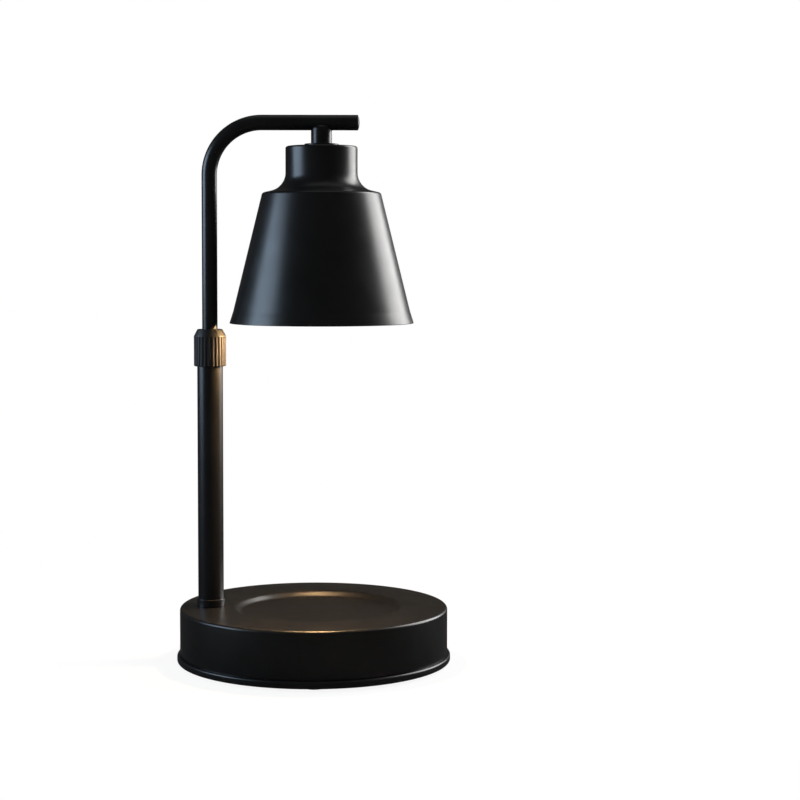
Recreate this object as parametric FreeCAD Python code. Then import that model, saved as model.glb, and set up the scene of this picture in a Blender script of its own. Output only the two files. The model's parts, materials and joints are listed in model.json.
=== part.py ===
# Candle warmer lamp: a round weighted base with a shallow candle dish, a pole in two
# tubes locked by a fluted collet, and a bent arm that carries a spun shade and its lamp.
# Millimetres. Z is up and the origin is on the ground under the centre of the base.
# The arm runs along +X from the pole, which stands at -X.

import FreeCAD, Part
import math
import os

Vector = FreeCAD.Vector

# Fits between pieces that touch
slip = 0.05            # radial gap of a shaft that turns or slides in its hole
snug = 0.03            # radial gap of a piece pressed or brazed into another
loose = 0.2            # radial gap of a screw or stud in a clearance hole
seat_gap = 0.3         # gap between faces that meet only when something moves
over = 1.0             # how far a cutting shape runs past the face it cuts

# Base
base_d = 150.0         # over the rounded rim
rim_h = 4.0            # height of the rim
rim_round = 1.1        # rounding of the rim's two edges
rim_step = 1.6         # how far the rim stands out past the housing
reveal_h = 0.4         # shadow groove between rim and housing
reveal_in = 0.5        # depth of that groove under the housing wall
base_h = 29.6          # underside of the rim to the top of the housing
shell_wall = 1.2       # drawn steel of the housing
top_round = 2.6        # rounding of the housing's top edge
plate_floor = 1.8      # floor of the bottom plate
spigot_h = 2.2         # locating ring of the plate inside the housing
spigot_wall = 1.5
foot_stand = 1.5       # rubber feet below the rim

# Candle dish pressed into the top
dish_x = 2.6
dish_floor_r = 42.5
dish_run = 4.5         # plan width of the S-shaped wall
dish_depth = 3.4
dish_bend = 1.9        # radius of both bends of the wall

# Feet, plate screws and counterweight
foot_d = 12.0
foot_pocket = 0.9
foot_inset = 12.0      # centres of the feet, in from the edge of the base
foot_round = 0.5
foot_count = 4
pillar_d = 7.0
pillar_inset = 14.0    # centres of the pillars, in from the edge of the base
pillar_count = 4
screw_d = 3.0
screw_head_d = 5.8
screw_head_h = 1.5
screw_length = 12.0
driver_slot = 0.8
driver_span = 3.4
driver_depth = 0.7
weight_gap = 5.5       # between the counterweight and the pillars
weight_h = 14.0
weight_round = 1.5
weight_screw_ring_r = 34.0
weight_screw_count = 3

# Cord gland in the rear wall
gland_z = 17.5
gland_d = 7.0
gland_bore_d = 5.2
gland_flange_d = 10.5
gland_flange_out = 1.3
gland_length = 9.0
gland_nut_across = 10.0
gland_nut_h = 3.0

# Pole
pole_inset = 18.55     # axis of the pole, in from the edge of the base
ferrule_wall = 0.6
ferrule_h = 4.4
ferrule_round = 0.5
outer_tube_d = 14.0
outer_tube_wall = 1.0
outer_tube_top = 167.0
foot_plug_h = 12.0
stud_d = 9.8
stud_drop = 9.0        # stud below the underside of the housing top
wire_bore_d = 6.4
washer_h = 1.5
washer_d = 18.0
nut_across = 14.0
nut_h = 5.0
nut_bevel = 1.2

# Collet clamp at the top of the outer tube
collet_nut_wall = 1.75 # how far the nut stands out past the outer tube
collet_nut_lap = 3.9   # skirt of the nut below the tube's top
collet_nut_h = 20.2
collet_nut_bevel_h = 3.8
collet_nut_land = 2.6  # flat top of the nut round the arm tube
collet_nut_round = 0.6
collet_nut_gap = 0.35  # between the nut's hole and the arm tube
skirt_gap = 0.5        # between the nut's skirt and the outer tube
thread_relief = 0.6    # free height above and below the nut's thread
flute_count = 26
flute_d = 1.3
flute_bite = 0.38      # depth of each flute
bush_flange_h = 1.0
bush_shoulder = 0.6    # step from the outer tube in to the thread
bush_thread_h = 8.0
bush_spigot_h = 12.0
seat_cone_h = 3.2
collet_wall = 1.4
collet_h = 9.0
collet_slit = 0.8
collet_slit_count = 4
collet_cone_h = 2.6
collet_tip = 0.4       # wall left at each end of the collet
collet_bridge = 1.6    # uncut length at the closed end of each slit

# Arm
arm_tube_d = 8.4
arm_tube_wall = 0.8
arm_axis_z = 295.35
arm_bend_r = 28.5
arm_reach = 80.95      # pole axis to the arm's free end
arm_tube_bottom = 122.0
end_cap_h = 1.3        # dome of the plug in the arm's end
end_cap_edge = 0.65    # straight side of the dome
end_cap_round = 0.4
end_cap_depth = 6.0
guide_h = 6.0
guide_gap = 0.3
guide_round = 0.6
clip_h = 0.8
clip_opening = 2.4
sleeve_flange_h = 1.2
sleeve_wall = 0.8
sleeve_depth = 8.0
end_step = 1.1         # how far clip and flange stand out past the arm tube

# Stem under the arm
stem_reach = 60.95     # pole axis to the stem's axis
stem_d = 11.4
stem_gap = 8.55        # underside of the arm tube to the top of the shade
stem_rise = 3.2        # how far the stem's saddle comes up round the arm tube
stem_round = 3.0
stem_bore_d = 5.0
neck_washer_d = 18.6
neck_washer_h = 0.7
neck_washer_round = 0.28
nipple_d = 9.8
nipple_bore_d = 7.0
nipple_grip = 6.0      # thread inside the stem
nipple_bevel = 0.6
nipple_proud = 1.0     # thread that shows below the nut

# Shade
shade_h = 96.1
neck_d = 39.2
neck_round = 1.3
neck_h = 15.6
shoulder_r = 32.3
shoulder_drop = 25.2   # from the shade's top to its sharp shoulder
shoulder_round = 2.2
hollow_round = 6.5     # concave curve from the neck to the shoulder
hollow_drop = 3.0      # sharp corner of that curve below the straight neck
flare_h = 6.5
flare_r = 48.2
flare_round = 20.0
mouth_r = 50.3
mouth_round = 0.25
shade_wall = 1.0

# Lamp holder under the shade's top
shade_washer_h = 1.0
shade_washer_d = 16.6
bracket_t = 1.2
bracket_bend = 0.6     # inner radius of each fold
bracket_w = 12.0
bracket_drop = 12.6    # from the top strap to the underside of the feet
bracket_span = 29.0
bracket_foot = 8.0
nipple_nut_h = 4.0
holder_l = 28.0
holder_w = 19.0
holder_h = 22.0
holder_round = 5.7
holder_screw_x = 9.5
holder_screw_d = 3.0
holder_screw_head_d = 5.4
holder_screw_head_h = 1.8
holder_screw_round = 0.8
holder_screw_length = 8.0
slot_lip = 2.6         # thickness of the holder's face over the pin heads
slot_depth = 7.4
contact_t = 0.6
contact_w = 3.6
contact_h = 4.5

# Lamp
pin_pitch = 10.0
pin_d = 2.6
pin_head_d = 4.8
pin_head_h = 2.4
pin_head_round = 0.5
pin_shank_h = 3.6
twist_deg = 25.0
cap_gap = 0.4
cap_d = 20.0
cap_h = 14.0
cap_round = 1.5
cap_flats = 16.8       # across the two flats
reflector_d = 50.0
reflector_h = 34.5
reflector_wall = 1.4
reflector_rim_h = 3.0
reflector_bulge = 0.62 # how full the bowl's curve is
lens_t = 1.6
lens_crown = 1.0
lens_inset = 1.6       # edge of the front glass above the reflector's mouth
capsule_d = 9.5
capsule_h = 19.0
capsule_round = 4.55

# Places worked out from the sizes above
rim_z = foot_stand
rim_top = rim_z + rim_h
housing_z = rim_top + reveal_h
base_top = rim_z + base_h
ceiling_z = base_top - shell_wall
housing_r = base_d / 2 - rim_step
housing_bore_r = housing_r - shell_wall
plate_top = rim_z + plate_floor
foot_ring_r = base_d / 2 - foot_inset
pillar_ring_r = base_d / 2 - pillar_inset
weight_d = 2 * (pillar_ring_r - weight_gap) - pillar_d
pole_x = pole_inset - base_d / 2
stem_x = pole_x + stem_reach
arm_end_x = pole_x + arm_reach
ferrule_d = outer_tube_d + 2 * ferrule_wall
outer_bore_r = outer_tube_d / 2 - outer_tube_wall
foot_plug_top = base_top + foot_plug_h
collet_nut_d = outer_tube_d + 2 * collet_nut_wall
collet_nut_top_d = arm_tube_d + 2 * collet_nut_land
collet_nut_bottom = outer_tube_top - collet_nut_lap
collet_nut_top = collet_nut_bottom + collet_nut_h
bush_thread_d = outer_tube_d - 2 * bush_shoulder
bush_z = outer_tube_top + bush_flange_h
bush_top = bush_z + bush_thread_h
arm_r = arm_tube_d / 2
arm_bore_r = arm_r - arm_tube_wall
clip_d = arm_tube_d + 2 * end_step
neck_top_z = arm_axis_z - arm_r - stem_gap
shade_bottom_z = neck_top_z - shade_h
shoulder_z = neck_top_z - shoulder_drop
neck_ceiling = neck_top_z - shade_wall
strap_top = neck_ceiling - shade_washer_h
strap_z = strap_top - bracket_t
holder_top = strap_top - bracket_drop
holder_z = holder_top - holder_h
cap_top = holder_z - cap_gap
reflector_top = cap_top - cap_h
mouth_z = reflector_top - reflector_h


def rounded_edges(corners, plane):
    """Edges of a closed outline whose corners are (a, b) or (a, b, radius)."""
    points = [Vector(corner[0], corner[1], 0) for corner in corners]
    radii = [corner[2] if len(corner) > 2 else 0.0 for corner in corners]
    starts, middles, ends = [], [], []
    for i, corner in enumerate(points):
        before = (points[i - 1] - corner).normalize()
        after = (points[(i + 1) % len(points)] - corner).normalize()
        half = before.getAngle(after) / 2
        reach = radii[i] / math.tan(half) if radii[i] else 0.0
        starts.append(corner + before * reach)
        ends.append(corner + after * reach)
        if radii[i]:
            inward = (before + after).normalize()
            middles.append(corner + inward * (radii[i] / math.sin(half) - radii[i]))
        else:
            middles.append(None)
    edges = []
    for i in range(len(points)):
        if middles[i]:
            edges.append(Part.Arc(plane(starts[i]), plane(middles[i]), plane(ends[i])).toShape())
        here, there = ends[i], starts[(i + 1) % len(points)]
        if here.distanceToPoint(there) > 1e-6:
            edges.append(Part.LineSegment(plane(here), plane(there)).toShape())
    return edges


def lathe(corners, x=0.0):
    """Turn an outline of (radius, z) corners about the vertical axis at x."""
    edges = rounded_edges(corners, lambda p: Vector(p.x, 0, p.y))
    face = Part.Face(Part.Wire(edges))
    solid = face.revolve(Vector(0, 0, 0), Vector(0, 0, 1), 360)
    solid.translate(Vector(x, 0, 0))
    return solid


def slab(corners, z, height):
    """Raise an outline of (x, y) corners from z by height."""
    edges = rounded_edges(corners, lambda p: Vector(p.x, p.y, z))
    return Part.Face(Part.Wire(edges)).extrude(Vector(0, 0, height))


def rod(d, z_low, z_high, x=0.0, y=0.0):
    return Part.makeCylinder(d / 2, z_high - z_low, Vector(x, y, z_low))


def cone(d_low, d_high, z_low, z_high, x=0.0, y=0.0):
    return Part.makeCone(d_low / 2, d_high / 2, z_high - z_low, Vector(x, y, z_low))


def block(x, y, z):
    """Box from three (low, high) pairs."""
    corner = Vector(x[0], y[0], z[0])
    return Part.makeBox(x[1] - x[0], y[1] - y[0], z[1] - z[0], corner)


def hexagon(across, z_low, z_high, x=0.0):
    far = across / math.sqrt(3)
    corners = []
    for k in range(6):
        angle = math.radians(60 * k + 30)
        corners.append((x + far * math.cos(angle), far * math.sin(angle)))
    return slab(corners, z_low, z_high - z_low)


def ring_places(radius, count, first_deg):
    places = []
    for k in range(count):
        angle = math.radians(first_deg + 360.0 * k / count)
        places.append((radius * math.cos(angle), radius * math.sin(angle)))
    return places


foot_places = ring_places(foot_ring_r, foot_count, 0)
pillar_places = ring_places(pillar_ring_r, pillar_count, 45)
weight_screw_places = ring_places(weight_screw_ring_r, weight_screw_count, 90)


def countersunk_screw(x, y):
    """Flat head flush with the underside of the plate, with a cross recess."""
    head = cone(screw_head_d, screw_d, rim_z, rim_z + screw_head_h, x, y)
    screw = head.fuse(rod(screw_d, rim_z + screw_head_h, rim_z + screw_length, x, y))
    reach = driver_span / 2
    half = driver_slot / 2
    depth = (rim_z, rim_z + driver_depth)
    across = block((x - reach, x + reach), (y - half, y + half), depth)
    along = block((x - half, x + half), (y - reach, y + reach), depth)
    return screw.cut(across.fuse(along))


def screw_hole(x, y):
    """Clearance hole with its countersink."""
    d = screw_d + 2 * loose
    head_d = screw_head_d + 2 * snug
    sink = cone(head_d, screw_d + 2 * snug, rim_z, rim_z + screw_head_h, x, y)
    return sink.fuse(rod(d, rim_z, plate_top, x, y))


def base_housing():
    """Drawn shell with the dish pressed in and four threaded pillars welded under the top."""
    outside = lathe([(0, housing_z), (housing_r, housing_z), (housing_r, base_top, top_round),
                     (0, base_top)])
    inside = lathe([(0, housing_z - over), (housing_bore_r, housing_z - over),
                    (housing_bore_r, ceiling_z, top_round - shell_wall), (0, ceiling_z)])
    dish = dish_cup(base_top, dish_floor_r, dish_bend, dish_bend, over)
    under = dish_cup(ceiling_z, dish_floor_r + shell_wall, dish_bend + shell_wall,
                     dish_bend - shell_wall, 0.0)
    shell = outside.cut(inside.cut(under)).cut(dish)
    for x, y in pillar_places:
        shell = shell.fuse(rod(pillar_d, plate_top, ceiling_z + shell_wall / 2, x, y))
    for x, y in pillar_places:
        shell = shell.cut(rod(screw_d + 2 * slip, plate_top, rim_z + screw_length + over, x, y))
    shell = shell.cut(rod(stud_d + 2 * loose, ceiling_z - over, base_top + over, pole_x))
    return shell.cut(gland_bore(gland_d + 2 * slip, 0, base_d))


def dish_cup(top, floor_r, low_bend, high_bend, above):
    """Solid that fills the dish up to a level, for one side of the pressing."""
    floor = top - dish_depth
    edge = floor_r + dish_run
    lid = top + above + 0.001
    return lathe([(0, floor), (floor_r, floor, low_bend), (edge, top, high_bend),
                  (edge + high_bend, top), (edge + high_bend, lid), (0, lid)], dish_x)


def base_plate():
    """Bottom plate with the rounded rim and a ring that locates the housing."""
    outer = base_d / 2
    ledge = housing_r - reveal_in
    spigot = housing_bore_r - loose
    plate = lathe([(0, rim_z), (outer, rim_z, rim_round), (outer, rim_top, rim_round),
                   (ledge, rim_top), (ledge, housing_z), (spigot, housing_z),
                   (spigot, housing_z + spigot_h), (spigot - spigot_wall, housing_z + spigot_h),
                   (spigot - spigot_wall, plate_top), (0, plate_top)])
    for x, y in foot_places:
        plate = plate.cut(rod(foot_d + 2 * loose, rim_z - over, rim_z + foot_pocket, x, y))
    for x, y in pillar_places + weight_screw_places:
        plate = plate.cut(screw_hole(x, y))
    return plate


def rubber_feet():
    top = rim_z + foot_pocket
    feet = []
    for x, y in foot_places:
        foot = lathe([(0, 0), (foot_d / 2, 0, foot_round), (foot_d / 2, top), (0, top)])
        foot.translate(Vector(x, y, 0))
        feet.append(foot)
    return Part.makeCompound(feet)


def plate_screws():
    return Part.makeCompound([countersunk_screw(x, y) for x, y in pillar_places])


def weight_screws():
    return Part.makeCompound([countersunk_screw(x, y) for x, y in weight_screw_places])


def counterweight():
    top = plate_top + weight_h
    disc = lathe([(0, plate_top), (weight_d / 2, plate_top, weight_round),
                  (weight_d / 2, top, weight_round), (0, top)])
    for x, y in weight_screw_places:
        disc = disc.cut(rod(screw_d + 2 * slip, plate_top - over, rim_z + screw_length + over, x, y))
    return disc


def gland_bore(d, y_low, y_high):
    return Part.makeCylinder(d / 2, y_high - y_low, Vector(0, y_low, gland_z), Vector(0, 1, 0))


def cord_gland():
    """Flanged bush through the rear wall. Its flange is shaped to the round wall."""
    wall = rod(2 * (housing_r + snug), housing_z, base_top)
    out = housing_r + gland_flange_out
    flange = gland_bore(gland_flange_d, housing_r - over, out).cut(wall)
    gland = flange.fuse(gland_bore(gland_d, out - gland_length, out))
    return gland.cut(gland_bore(gland_bore_d, 0, base_d))


def gland_nut():
    """Hexagon lock nut that pulls the gland against the wall from inside."""
    bore = rod(2 * (housing_bore_r - snug), housing_z, base_top)
    across = gland_nut_across / math.sqrt(3)
    y_low = housing_bore_r - gland_nut_h - seat_gap
    corners = []
    for k in range(7):
        angle = math.radians(60 * k)
        corners.append(Vector(across * math.cos(angle), y_low, gland_z + across * math.sin(angle)))
    face = Part.Face(Part.makePolygon(corners))
    nut = face.extrude(Vector(0, gland_nut_h + over, 0)).common(bore)
    return nut.cut(gland_bore(gland_d + 2 * slip, 0, base_d))


def pole_ferrule():
    """Trim ring round the foot of the outer tube."""
    r = ferrule_d / 2
    bore = outer_tube_d / 2 + slip
    top = base_top + ferrule_h
    return lathe([(bore, base_top), (r, base_top), (r, top, ferrule_round), (bore, top)], pole_x)


def outer_tube():
    r = outer_tube_d / 2
    return lathe([(outer_bore_r, base_top), (r, base_top), (r, outer_tube_top),
                  (outer_bore_r, outer_tube_top)], pole_x)


def foot_plug():
    """Plug brazed into the outer tube, with a hollow stud that goes through the housing."""
    r = outer_bore_r - snug
    bore = wire_bore_d / 2
    bottom = ceiling_z - stud_drop
    return lathe([(bore, bottom), (stud_d / 2, bottom), (stud_d / 2, base_top), (r, base_top),
                  (r, foot_plug_top), (bore, foot_plug_top)], pole_x)


def foot_washer():
    z = ceiling_z - washer_h
    disc = rod(washer_d, z, ceiling_z, pole_x)
    return disc.cut(rod(stud_d + 2 * loose, z - over, ceiling_z + over, pole_x))


def foot_nut():
    top = ceiling_z - washer_h
    low = top - nut_h
    flat_r = nut_across / 2
    turned = lathe([(0, low), (flat_r, low), (flat_r + nut_bevel, low + nut_bevel),
                    (flat_r + nut_bevel, top), (0, top)], pole_x)
    nut = hexagon(nut_across, low, top, pole_x).common(turned)
    return nut.cut(rod(stud_d + 2 * slip, low - over, top + over, pole_x))


def collet_bush():
    """Threaded bush brazed into the outer tube, with a conical seat for the split collet."""
    tube_r = arm_r + 2 * slip
    spigot_r = outer_bore_r - snug
    bottom = outer_tube_top - bush_spigot_h
    return lathe([(tube_r, bottom), (spigot_r, bottom), (spigot_r, outer_tube_top),
                  (outer_tube_d / 2, outer_tube_top), (outer_tube_d / 2, bush_z),
                  (bush_thread_d / 2, bush_z), (bush_thread_d / 2, bush_top),
                  (tube_r + collet_wall + seat_gap, bush_top),
                  (tube_r + seat_gap, bush_top - seat_cone_h), (tube_r, bush_top - seat_cone_h)],
                 pole_x)


def split_collet():
    """Nylon ring with a cone at each end and slits that let it close on the arm tube."""
    bore = arm_r + slip
    r = bore + collet_wall
    z = bush_top - seat_cone_h + seat_gap
    top = z + collet_h
    tip = bore + collet_tip
    ring = lathe([(bore, z), (tip, z), (r, z + seat_cone_h), (r, top - collet_cone_h),
                  (tip, top), (bore, top)], pole_x)
    for k in range(collet_slit_count):
        angle = 360.0 * k / collet_slit_count
        span = (z - over, top - collet_bridge) if k % 2 == 0 else (z + collet_bridge, top + over)
        cut = block((0, r + over), (-collet_slit / 2, collet_slit / 2), span)
        cut.rotate(Vector(0, 0, 0), Vector(0, 0, 1), angle)
        cut.translate(Vector(pole_x, 0, 0))
        ring = ring.cut(cut)
    return ring


def collet_nut():
    """Fluted nut of the clamp: a skirt over the tube end, a thread and an inner cone."""
    r = collet_nut_d / 2
    skirt_r = outer_tube_d / 2 + skirt_gap
    thread_r = bush_thread_d / 2 + slip
    skirt_top = bush_z + thread_relief
    cone_low = bush_top + thread_relief
    collet_top = bush_top - seat_cone_h + seat_gap + collet_h
    cone_r = arm_r + slip + collet_wall + seat_gap
    hole_r = arm_r + collet_nut_gap
    round_r = collet_nut_round
    body = lathe([(skirt_r, collet_nut_bottom), (r, collet_nut_bottom, round_r),
                  (r, collet_nut_top - collet_nut_bevel_h, round_r),
                  (collet_nut_top_d / 2, collet_nut_top, round_r),
                  (hole_r, collet_nut_top), (hole_r, collet_top + seat_gap),
                  (cone_r, collet_top + seat_gap - collet_cone_h), (cone_r, cone_low),
                  (thread_r, cone_low), (thread_r, skirt_top), (skirt_r, skirt_top)], pole_x)
    low = collet_nut_bottom - over
    high = collet_nut_top + over
    centre_r = r + flute_d / 2 - flute_bite
    for x, y in ring_places(centre_r, flute_count, 0):
        body = body.cut(rod(flute_d, low, high, pole_x + x, y))
    return body


def arm_path(z_start, x_end):
    """Centre line of the arm: up the pole, round the bend and out along +X."""
    bend_z = arm_axis_z - arm_bend_r
    bend_x = pole_x + arm_bend_r
    short = arm_bend_r * (1 - math.sqrt(0.5))
    up = Part.LineSegment(Vector(pole_x, 0, z_start), Vector(pole_x, 0, bend_z))
    bend = Part.Arc(Vector(pole_x, 0, bend_z), Vector(pole_x + short, 0, arm_axis_z - short),
                    Vector(bend_x, 0, arm_axis_z))
    out = Part.LineSegment(Vector(bend_x, 0, arm_axis_z), Vector(x_end, 0, arm_axis_z))
    return Part.Wire([up.toShape(), bend.toShape(), out.toShape()])


def arm_bar(r, z_start, x_end):
    ring = Part.Wire(Part.makeCircle(r, Vector(pole_x, 0, z_start), Vector(0, 0, 1)))
    return arm_path(z_start, x_end).makePipeShell([ring], True, False)


def arm_tube():
    """Bent tube, drilled on its underside where the stem's wires come in."""
    end_x = arm_end_x - end_cap_h
    tube = arm_bar(arm_r, arm_tube_bottom, end_x)
    bore = arm_bar(arm_bore_r, arm_tube_bottom - over, end_x + over)
    wire_hole = rod(stem_bore_d, arm_axis_z - arm_r - over, arm_axis_z - arm_bore_r / 2, stem_x)
    return tube.cut(bore).cut(wire_hole)


def arm_cap():
    """Domed plug in the free end of the arm."""
    end_x = arm_end_x - end_cap_h
    head = lathe([(0, 0), (arm_r, 0), (arm_r, end_cap_edge, end_cap_round), (0, end_cap_h)])
    stalk = Part.makeCylinder(arm_bore_r - snug, end_cap_depth, Vector(0, 0, -end_cap_depth))
    plug = head.fuse(stalk)
    plug.rotate(Vector(0, 0, 0), Vector(0, 1, 0), 90)
    plug.translate(Vector(end_x, 0, arm_axis_z))
    return plug


def tube_sleeve():
    """Flanged sleeve in the arm tube's lower end: it holds the guide ring on."""
    top = arm_tube_bottom + sleeve_depth
    flange_r = arm_r + end_step
    sleeve_r = arm_bore_r - snug
    bore = sleeve_r - sleeve_wall
    z = arm_tube_bottom - sleeve_flange_h
    return lathe([(bore, z), (flange_r, z), (flange_r, arm_tube_bottom),
                  (sleeve_r, arm_tube_bottom), (sleeve_r, top), (bore, top)], pole_x)


def guide_ring():
    """Nylon ring that steadies the arm tube inside the outer tube."""
    z = arm_tube_bottom + guide_gap
    r = outer_bore_r - 2 * slip
    return lathe([(arm_r + slip, z), (r, z, guide_round), (r, z + guide_h, guide_round),
                  (arm_r + slip, z + guide_h)], pole_x)


def guide_clip():
    """Spring ring above the guide ring, open on one side."""
    z = arm_tube_bottom + 2 * guide_gap + guide_h
    ring = lathe([(arm_r + snug, z), (clip_d / 2, z), (clip_d / 2, z + clip_h),
                  (arm_r + snug, z + clip_h)], pole_x)
    half = clip_opening / 2
    return ring.cut(block((pole_x, pole_x + clip_d), (-half, half), (z - over, z + clip_h + over)))


def stem():
    """Turned stem brazed under the arm, with a saddle round the tube and a tapped bore."""
    z = neck_top_z + neck_washer_h
    top = arm_axis_z - arm_r + stem_rise
    body = lathe([(0, z), (stem_d / 2, z), (stem_d / 2, top, stem_round), (0, top)], stem_x)
    arm = Part.makeCylinder(arm_r + snug, stem_d * 2, Vector(stem_x - stem_d, 0, arm_axis_z),
                            Vector(1, 0, 0))
    tapped = rod(nipple_d + 2 * slip, z - over, z + nipple_grip, stem_x)
    wires = rod(stem_bore_d, z, top, stem_x)
    return body.cut(arm).cut(tapped).cut(wires)


def neck_washer():
    z = neck_top_z
    hole_r = nipple_d / 2 + loose
    r = neck_washer_d / 2
    return lathe([(hole_r, z), (r, z), (r, z + neck_washer_h, neck_washer_round),
                  (hole_r, z + neck_washer_h)], stem_x)


def nipple():
    """Threaded hollow rod that joins the stem, the shade and the holder's strap."""
    top = neck_top_z + neck_washer_h + nipple_grip
    bottom = strap_z - nipple_nut_h - nipple_proud
    r = nipple_d / 2
    bevel = nipple_bevel
    bore = nipple_bore_d / 2
    return lathe([(bore, bottom), (r - bevel, bottom), (r, bottom + bevel), (r, top - bevel),
                  (r - bevel, top), (bore, top)], stem_x)


def moved_in(before, corner, after, wall):
    """Corner of an outline moved in so that both its sides end up a wall's thickness away."""
    one = (corner - before).normalize()
    two = (after - corner).normalize()
    across_one = Vector(one.y, -one.x, 0)
    across_two = Vector(two.y, -two.x, 0)
    return corner + (across_one + across_two) * (wall / (1 + across_one.dot(across_two)))


def shade():
    """Spun shade: short neck, hollow curve, sharp shoulder, cone and a flared mouth."""
    wall = shade_wall
    neck_r = neck_d / 2
    hole = nipple_d / 2 + loose
    top = Vector(neck_r, neck_top_z, 0)
    hollow = Vector(neck_r, neck_top_z - neck_h - hollow_drop, 0)
    shoulder = Vector(shoulder_r, shoulder_z, 0)
    flare = Vector(flare_r, shade_bottom_z + flare_h, 0)
    mouth = Vector(mouth_r, shade_bottom_z, 0)
    hollow_in = moved_in(top, hollow, shoulder, wall)
    shoulder_in = moved_in(hollow, shoulder, flare, wall)
    flare_in = moved_in(shoulder, flare, mouth, wall)
    return lathe([(hole, top.y), (neck_r, top.y, neck_round),
                  (hollow.x, hollow.y, hollow_round), (shoulder.x, shoulder.y, shoulder_round),
                  (flare.x, flare.y, flare_round), (mouth.x, mouth.y, mouth_round),
                  (mouth.x - wall, mouth.y, mouth_round),
                  (flare_in.x, flare_in.y, flare_round + wall),
                  (shoulder_in.x, shoulder_in.y, shoulder_round - wall),
                  (hollow_in.x, hollow_in.y, hollow_round + wall),
                  (neck_r - wall, neck_ceiling, neck_round - wall), (hole, neck_ceiling)], stem_x)


def shade_washer():
    disc = rod(shade_washer_d, strap_top, neck_ceiling, stem_x)
    return disc.cut(rod(nipple_d + 2 * loose, strap_top - over, neck_ceiling + over, stem_x))


def holder_strap():
    """Folded strap: held at its middle by the nipple, with a foot on each side."""
    half = bracket_span / 2
    inner = half - bracket_t
    foot_x = half - bracket_foot
    foot_top = holder_top + bracket_t
    fold = bracket_bend
    bend = bracket_t + fold
    profile = [(-half, holder_top, bend), (-foot_x, holder_top), (-foot_x, foot_top),
               (-inner, foot_top, fold), (-inner, strap_z, fold), (inner, strap_z, fold),
               (inner, foot_top, fold), (foot_x, foot_top), (foot_x, holder_top),
               (half, holder_top, bend), (half, strap_top, bend), (-half, strap_top, bend)]
    edges = rounded_edges(profile, lambda p: Vector(stem_x + p.x, -bracket_w / 2, p.y))
    strap = Part.Face(Part.Wire(edges)).extrude(Vector(0, bracket_w, 0))
    strap = strap.cut(rod(nipple_d + 2 * loose, strap_z - over, strap_top + over, stem_x))
    for side in (-1, 1):
        x = stem_x + side * holder_screw_x
        hole = rod(holder_screw_d + 2 * loose, holder_top - over, foot_top + over, x)
        strap = strap.cut(hole)
    return strap


def nipple_nut():
    nut = hexagon(nut_across, strap_z - nipple_nut_h, strap_z, stem_x)
    return nut.cut(rod(nipple_d + 2 * slip, strap_z - nipple_nut_h - over, strap_z + over, stem_x))


def holder_screws():
    top = holder_top + bracket_t
    screws = []
    for side in (-1, 1):
        x = stem_x + side * holder_screw_x
        head = lathe([(0, top), (holder_screw_head_d / 2, top),
                      (holder_screw_head_d / 2, top + holder_screw_head_h, holder_screw_round),
                      (0, top + holder_screw_head_h)], x)
        screw = head.fuse(rod(holder_screw_d, top - holder_screw_length, top, x))
        slot = block((x - driver_slot / 2, x + driver_slot / 2),
                     (-holder_screw_head_d, holder_screw_head_d),
                     (top + holder_screw_head_h - driver_depth, top + holder_screw_head_h + over))
        screws.append(screw.cut(slot))
    return Part.makeCompound(screws)


def arc_slot(width, z_low, z_high, side, open_d):
    """Curved slot that a lamp pin turns in, with a round entry at its far end."""
    r = pin_pitch / 2
    track = Part.makeCylinder(r + width / 2, z_high - z_low, Vector(0, 0, z_low),
                              Vector(0, 0, 1), twist_deg)
    track = track.cut(rod(2 * r - width, z_low - over, z_high + over))
    track.rotate(Vector(0, 0, 0), Vector(0, 0, 1), -twist_deg)
    entry_x = r * math.cos(math.radians(twist_deg))
    entry_y = -r * math.sin(math.radians(twist_deg))
    track = track.fuse(rod(width, z_low, z_high, r, 0))
    track = track.fuse(rod(open_d, z_low, z_high, entry_x, entry_y))
    if side < 0:
        track.rotate(Vector(0, 0, 0), Vector(0, 0, 1), 180)
    track.translate(Vector(stem_x, 0, 0))
    return track


def lamp_holder():
    """Ceramic twist-lock holder with two curved keyways and two screw holes."""
    half_l = holder_l / 2
    half_w = holder_w / 2
    corner = holder_round
    outline = [(stem_x - half_l, -half_w, corner), (stem_x + half_l, -half_w, corner),
               (stem_x + half_l, half_w, corner), (stem_x - half_l, half_w, corner)]
    body = slab(outline, holder_z, holder_h)
    face_z = holder_z + slot_lip
    top_z = holder_z + slot_depth
    head_w = pin_head_d + 4 * loose
    for side in (-1, 1):
        body = body.cut(arc_slot(pin_d + 2 * loose, holder_z - over, top_z, side, head_w))
        body = body.cut(arc_slot(head_w, face_z, top_z, side, head_w))
        x = stem_x + side * holder_screw_x
        body = body.cut(rod(holder_screw_d + 2 * slip, holder_top - holder_screw_length,
                            holder_top + over, x))
        body = body.cut(contact_leaf(side, loose / 2))
    return body


def contact_leaf(side, gap):
    """Upright contact leaf above a keyway, or its pocket where a gap is given."""
    x = stem_x + side * pin_pitch / 2
    half_w = contact_w / 2 + gap
    half_t = contact_t / 2 + gap
    z = holder_z + slot_depth
    return block((x - half_w, x + half_w), (-half_t, half_t), (z, z + contact_h + gap))


def holder_contacts():
    return Part.makeCompound([contact_leaf(side, 0.0) for side in (-1, 1)])


def lamp_pins():
    """Two headed pins of the lamp's cap."""
    pins = []
    for side in (-1, 1):
        x = stem_x + side * pin_pitch / 2
        shank_top = cap_top + pin_shank_h
        shank = rod(pin_d, cap_top, shank_top, x)
        head = lathe([(0, shank_top), (pin_head_d / 2, shank_top),
                      (pin_head_d / 2, shank_top + pin_head_h, pin_head_round),
                      (0, shank_top + pin_head_h)], x)
        pins.append(shank.fuse(head))
    return Part.makeCompound(pins)


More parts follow.
